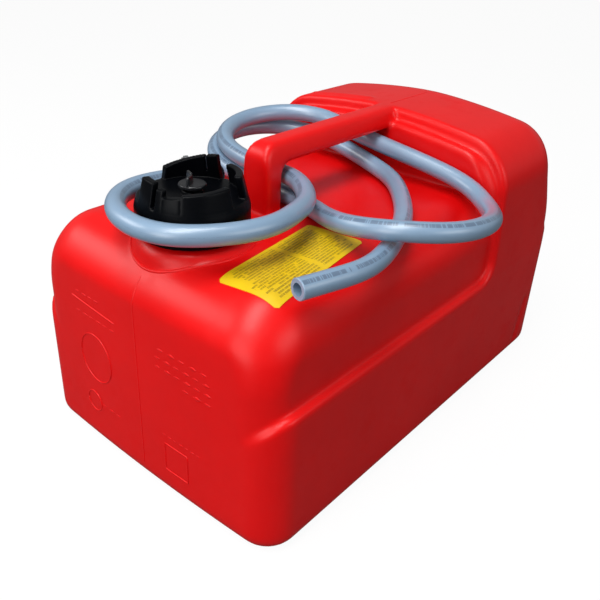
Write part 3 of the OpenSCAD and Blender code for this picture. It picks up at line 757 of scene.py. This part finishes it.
def reliefStrips(name, lines, width, height):
    # Low rounded beads along lines on the tank's surface, one closed mesh
    points, faces, n = [], [], len(beadSection)
    for line in lines:
        line = np.array(line, float)
        run = np.concatenate([[0], np.cumsum(np.linalg.norm(np.diff(line, axis=0), axis=1))])
        steps = np.linspace(0, run[-1], max(2, int(run[-1] / bead["gap"]) + 1))
        path = np.stack([np.interp(steps, run, line[:, k]) for k in range(3)], axis=1)
        closed = np.linalg.norm(line[0] - line[-1]) < bead["closedWithin"]
        path = tankField.settle(path, bead["rounds"])
        out = tankField.normals(path)
        along = np.gradient(path, axis=0)
        if closed:
            along[0] = along[-1] = path[1] - path[-2]
        side = np.cross(out, along)
        side /= np.linalg.norm(side, axis=1)[:, None]
        fade = np.ones((len(steps), 1))
        if not closed:
            fade = np.clip(np.minimum(steps, run[-1] - steps) / width, bead["leastFade"], 1)[:, None]
        rings = [path + side * across * width / 2 * fade + out * up * height * np.where(up > 0, fade, 1)
                 for across, up in beadSection]
        start, last = len(points), len(points) + (len(path) - 1) * n
        for i in range(len(path)):
            points.extend(r[i] for r in rings)
        for i in range(len(path) - 1):
            for k in range(n):
                a, b = start + i * n + k, start + i * n + (k + 1) % n
                faces.append((a, b, b + n, a + n))
        faces.append(tuple(range(start + n - 1, start - 1, -1)))
        faces.append(tuple(range(last, last + n)))
    dress(makeObject(name, points, faces), "tank", "red_polyethylene", "red")


footRing = {"radius": 40.6, "width": 2.6, "height": 0.8, "points": 121, "rounds": 8}
relief = {
    "face": -189.0,  # the front, where the lines are laid out as (y, z)
    "ring": {"at": (47.6, 81.0), "radius": (17.5, 19.5)},
    "smallRing": {"at": (55.0, 40.0), "radius": (8.0, 8.5)},
    "ringPoints": 49,
    "rule": [(70, 124.5), (21, 121)],
    "rows": [(-22, -70, 122, 5), (-19, -71, 115, 6), (-19, -72, 108, 6), (-44, -73, 101, 3), (46, 21, 41, 3),
             (64, 36, 130, 4), (66, 20, 114, 6), (-22, -60, 54, 7)],  # from y, to y, height, number of bars
    "barShares": (0.62, 0.76),  # how much of their places the even and the odd bars fill
    "frame": [(-24, 47), (-24, 24), (-46, 24), (-46, 47), (-24, 47)],
    "line": (1.3, 0.5), "bar": (3.6, 0.55),  # width and height
}
seam = {"size": (1.6, 0.3), "frontIn": 0.5, "bottom": 14.0, "bends": 12, "neckGap": 1.0,
        "rear": [(3.0, 128.0), (5.0, 180.0)],  # (in from the rear end, height)
        "top": (82.0, 140.0)}


def frontRelief():
    r = relief

    def onFace(y, z):
        return r["face"], y, z

    lines = [[onFace(*p) for p in r["rule"]], [onFace(*p) for p in r["frame"]]]
    for ring in (r["ring"], r["smallRing"]):
        (y, z), (wide, tall) = ring["at"], ring["radius"]
        turn = np.linspace(0, 2 * math.pi, r["ringPoints"])
        lines.append([onFace(y + wide * math.cos(a), z + tall * math.sin(a)) for a in turn])
    bars = []
    for left, right, z, count in r["rows"]:
        edges = np.linspace(left, right, count + 1)
        bars += [[onFace(a, z), onFace(a + (b - a) * r["barShares"][k % 2], z)]
                 for k, (a, b) in enumerate(zip(edges[:-1], edges[1:]))]
    reliefStrips("frontLines", lines, *r["line"])
    reliefStrips("frontBars", bars, *r["bar"])


def seamLine():
    # Up the front's middle as far as the neck's foot, down the rear's and along the block's top
    halfLength = tank["length"] / 2
    front = -halfLength + seam["frontIn"]
    curve = tank["deckRadius"]
    turn = np.linspace(0, math.pi / 2, seam["bends"])
    over = [(front + curve * (1 - math.cos(a)), 0, tank["deck"] - curve * (1 - math.sin(a))) for a in turn]
    over = [p for p in over if p[0] < neck["x"] - footRing["radius"] - seam["neckGap"]]
    rear = [(halfLength - back, 0, z) for back, z in seam["rear"]]
    top = [(x, 0, tank["height"]) for x in seam["top"]]
    reliefStrips("seamLine", [[(front, 0, seam["bottom"])] + over, rear, top], *seam["size"])


def makeFootRing():
    # The bead where the neck's foot meets the deck, following the deck over its front edge
    f = footRing
    turn = np.linspace(0, 2 * math.pi, f["points"])
    ring = np.stack([neck["x"] + f["radius"] * np.cos(turn), f["radius"] * np.sin(turn),
                     np.full(f["points"], tank["deck"])], axis=1)
    ring = tankField.settle(ring, f["rounds"], along=(0, 0, 1))
    reliefStrips("footRing", [ring], f["width"], f["height"])


frontRelief()
seamLine()
makeFootRing()

print("cap")
cap = {
    "radius": 37.2, "bottom": 181.5, "shoulder": 35.4, "rim": 198.0, "floor": 204.5, "underside": 202.0,
    "wallTop": 18.0, "crownRadius": 31.0, "grip": 5.0, "bossRadius": 7.0, "bossTop": 207.5, "hole": 3.3,
    "skirt": 2.5, "edge": 1.2, "bossEdge": 0.8,
    "root": 1.0,  # how deep the boss and the walls reach into the crown's floor
    "step": 0.7, "soft": 0.4,
    # angle where each grip wall starts, and its shares of wallTop at its start and end
    "walls": [(0, 0, 0), (12, 1, 0.94), (28, 0.3, 0.3), (30, 0.94, 0.54), (84, 0, 0), (157, 0.86, 0.84),
              (182, 0, 0), (187, 0.7, 0.66), (196, 0.44, 0.5), (216, 0.58, 0.68), (273, 0, 0),
              (300, 0.8, 0.74), (356, 0, 0)],
    "teeth": (12, 84, 4.0, 0.7),  # a fine saw edge: from, to, pitch in degrees and height
}


def capShape(x, y, z):
    c = cap
    radius = np.hypot(x - neck["x"], y)
    angle = np.degrees(np.arctan2(y, x - neck["x"])) % 360
    taper = (c["radius"] - c["shoulder"]) * np.clip((z - c["rim"]) / (c["floor"] - c["rim"]), 0, 1)
    outer = roundCut(radius - c["radius"] + taper, z - c["floor"], c["edge"])
    outer = np.maximum(outer, c["bottom"] - z)
    cavity = np.maximum(radius - c["radius"] + c["skirt"], z - c["underside"])
    shell = np.maximum(outer, -cavity)
    boss = roundCut(radius - c["bossRadius"], z - c["bossTop"], c["bossEdge"])
    shell = np.minimum(shell, np.maximum(boss, c["floor"] - c["root"] - z))
    lean = (c["shoulder"] - c["crownRadius"]) / c["wallTop"]
    outerWall = c["shoulder"] - (z - c["floor"]) * lean
    ring = np.maximum(radius - outerWall, outerWall - c["grip"] - radius)
    ring = np.maximum(ring, c["floor"] - c["root"] - z)
    first, last, pitch, height = c["teeth"]
    saw = height * np.abs((angle / pitch) % 1 - 0.5) * 2 * ((angle > first) & (angle < last))
    stops = [w[0] for w in c["walls"][1:]] + [360]
    for (start, share, endShare), stop in zip(c["walls"], stops):
        if share:
            top = c["wallTop"] * (share + (endShare - share) * (angle - start) / (stop - start)) - saw
            sides = np.maximum(start - angle, angle - stop) * math.radians(1) * c["crownRadius"]
            wall = np.maximum(ring, np.maximum(sides, z - c["floor"] - top))
            shell = np.minimum(shell, wall)
    return np.maximum(shell, c["hole"] - radius)


def makeCap():
    c, x = cap, neck["x"]
    obj, _ = mouldedPiece("capShell", capShape, (x - c["radius"], -c["radius"], c["bottom"]),
                          (x + c["radius"], c["radius"], c["floor"] + c["wallTop"]), c["step"], c["soft"])
    dress(obj, "cap", "black_nylon", "black", "cap_shell")


makeCap()

print("vent screw")
vent = {"radius": 9.0, "bottom": 209.3, "top": 211.9, "edge": 0.8, "bottomEdge": 0.5,
        "wingTop": 217.6, "wing": 2.4, "wingDraft": 0.05, "reach": 8.9, "endDraft": 0.12, "endEdge": 1.2,
        "inner": 1.0, "angles": (68, 206), "stem": 3.0, "stemBottom": 190.0,
        "root": 1.0,  # how deep the stem and the wings reach into the head
        "step": 0.45, "soft": 0.3}


def ventShape(x, y, z):
    v = vent
    u, w = x - neck["x"], y
    radius = np.hypot(u, w)
    head = roundCut(roundCut(radius - v["radius"], z - v["top"], v["edge"]), v["bottom"] - z, v["bottomEdge"])
    stem = np.maximum(radius - v["stem"], np.maximum(z - v["bottom"] - v["root"], v["stemBottom"] - z))
    shape = np.minimum(head, stem)
    for angle in v["angles"]:
        c, s = math.cos(math.radians(angle)), math.sin(math.radians(angle))
        along, across = u * c + w * s, w * c - u * s
        wing = np.maximum(np.abs(across) - v["wing"] / 2 + v["wingDraft"] * (z - v["top"]),
                          np.maximum(v["inner"] - along, z - v["wingTop"]))
        wing = roundCut(wing, along - v["reach"] + v["endDraft"] * (z - v["top"]), v["endEdge"])
        shape = np.minimum(shape, np.maximum(wing, v["top"] - v["root"] - z))
    return shape


def makeVent():
    v, x = vent, neck["x"]
    obj, _ = mouldedPiece("ventScrew", ventShape, (x - v["radius"], -v["radius"], v["stemBottom"]),
                          (x + v["radius"], v["radius"], v["wingTop"]), v["step"], v["soft"])
    dress(obj, "vent", "vent_nylon", "vent", "vent_screw")


makeVent()

print("label")
label = {"at": (-114.0, -67.5), "turn": 7.0, "length": 99.0, "width": 43.0, "corner": 2.0, "thick": 0.45,
         "sunk": 0.1, "grid": (44, 22), "rounds": 8}


def makeLabel():
    b = label
    across = np.linspace(-1, 1, b["grid"][1] + 1)[:, None] * b["width"] / 2
    into = np.maximum(np.abs(across) - (b["width"] / 2 - b["corner"]), 0)
    half = b["length"] / 2 - b["corner"] + np.sqrt(b["corner"] ** 2 - into ** 2)
    along = np.linspace(-1, 1, b["grid"][0] + 1)[None, :] * half
    across = np.broadcast_to(across, along.shape)
    c, s = math.cos(math.radians(b["turn"])), math.sin(math.radians(b["turn"]))
    flat = np.stack([b["at"][0] + along * c - across * s, b["at"][1] + along * s + across * c,
                     np.full(along.shape, tank["deck"])], axis=2).reshape(-1, 3)
    flat = tankField.settle(flat, b["rounds"], along=(0, 0, 1))
    out = tankField.normals(flat)
    rows, columns = along.shape
    n = rows * columns
    points = np.concatenate([flat + out * b["thick"], flat - out * b["sunk"]])
    faces = []
    for i in range(rows - 1):
        for j in range(columns - 1):
            a = i * columns + j
            faces.append((a, a + 1, a + columns + 1, a + columns))
            faces.append((n + a, n + a + columns, n + a + columns + 1, n + a + 1))
    rim = list(range(columns)) + [i * columns + columns - 1 for i in range(1, rows)]
    rim += [(rows - 1) * columns + j for j in range(columns - 2, -1, -1)]
    rim += [i * columns for i in range(rows - 2, 0, -1)]
    for here, after in zip(rim, rim[1:] + rim[:1]):
        faces.append((here, n + here, n + after, after))
    obj = makeObject("deckLabel", points, faces)
    obj.data.set_sharp_from_angle(angle=math.radians(sharpEdge))
    place = np.stack([along.ravel(), across.ravel()], axis=1).astype(np.float32)
    keepPlace(obj, "labelPlace", np.concatenate([place, place]))
    dress(obj, "tank", "label_film", "label", "deck_label")


makeLabel()

print("floor and light")
stage = {"floorSize": 20.0, "floorDrop": 0.2, "floorColor": 0.12, "seenColor": 1.0, "white": 0.94,
         "ambient": 0.27}
lamps = [  # name, place and aim in metres, width and height, watts
    ("over", (-0.55, -0.1, 1.3), (-0.1, 0.0, 0.15), (0.45, 1.3), 17),
    ("window", (-0.95, 1.1, 1.0), (-0.15, 0.0, 0.15), (1.1, 0.5), 8.5),
    ("front", (-1.7, -0.2, 0.5), (-0.1, 0.0, 0.1), (0.8, 1.0), 10),
    ("near", (0.1, -1.7, 0.9), (0.0, 0.0, 0.1), (1.4, 0.6), 8),
]


def seesBackground(tree):
    return wire(tree, "ShaderNodeLightPath").outputs["Is Camera Ray"]


def makeStage():
    world = bpy.data.worlds.new("studio")
    bpy.context.scene.world = world
    world.use_nodes = True
    tree = world.node_tree
    tree.nodes.clear()
    strength = spread(tree, seesBackground(tree), 0, 1, stage["ambient"], 1.0)
    light = wire(tree, "ShaderNodeBackground", {"Strength": strength})
    light.inputs["Color"].default_value = (1, 1, 1, 1)
    wire(tree, "ShaderNodeOutputWorld", {"Surface": light.outputs[0]})

    size, drop = stage["floorSize"] / 2 / mm, stage["floorDrop"]
    corners = [(-size, -size, -drop), (size, -size, -drop), (size, size, -drop), (-size, size, -drop)]
    floor = makeObject("floor", corners, [(0, 1, 2, 3)])
    material = bpy.data.materials.new("paleFloor")
    material.use_nodes = True
    tree = material.node_tree
    tree.nodes.clear()
    shade = spread(tree, seesBackground(tree), 0, 1, stage["floorColor"], stage["seenColor"])
    matt = wire(tree, "ShaderNodeBsdfDiffuse", {"Color": shade})
    glow = wire(tree, "ShaderNodeEmission", {"Strength": 1.0})
    share = math2(tree, "MULTIPLY", seesBackground(tree), stage["white"])
    mix = wire(tree, "ShaderNodeMixShader", {0: share, 1: matt.outputs[0], 2: glow.outputs[0]})
    wire(tree, "ShaderNodeOutputMaterial", {"Surface": mix.outputs[0]})
    floor.data.materials.append(material)

    for name, place, aim, size, watts in lamps:
        light = bpy.data.lights.new(name, "AREA")
        light.shape = "RECTANGLE"
        light.size, light.size_y = size
        light.energy = watts
        lamp = bpy.data.objects.new(name, light)
        bpy.context.scene.collection.objects.link(lamp)
        lamp.location = place
        lamp.rotation_mode = "QUATERNION"
        lamp.rotation_quaternion = (Vector(aim) - Vector(place)).to_track_quat("-Z", "Y")
    bpy.context.scene.view_settings.view_transform = "Standard"


makeStage()

print("carried-over pieces")
carried = {
    "black": ("cap_thread_ring", "outlet_elbow", "outlet_locknut"),
    "seal": ("cap_gasket", "vent_o_ring", "outlet_gasket"),
    "white": ("cap_baffle", "pickup_tube", "pickup_strainer"),
    "steel": ("vent_clip", "hose_clamp", "hose_clamp_screw"),
}
for finishName, nodes in carried.items():
    for node in nodes:
        paint(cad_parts[node], finishName)
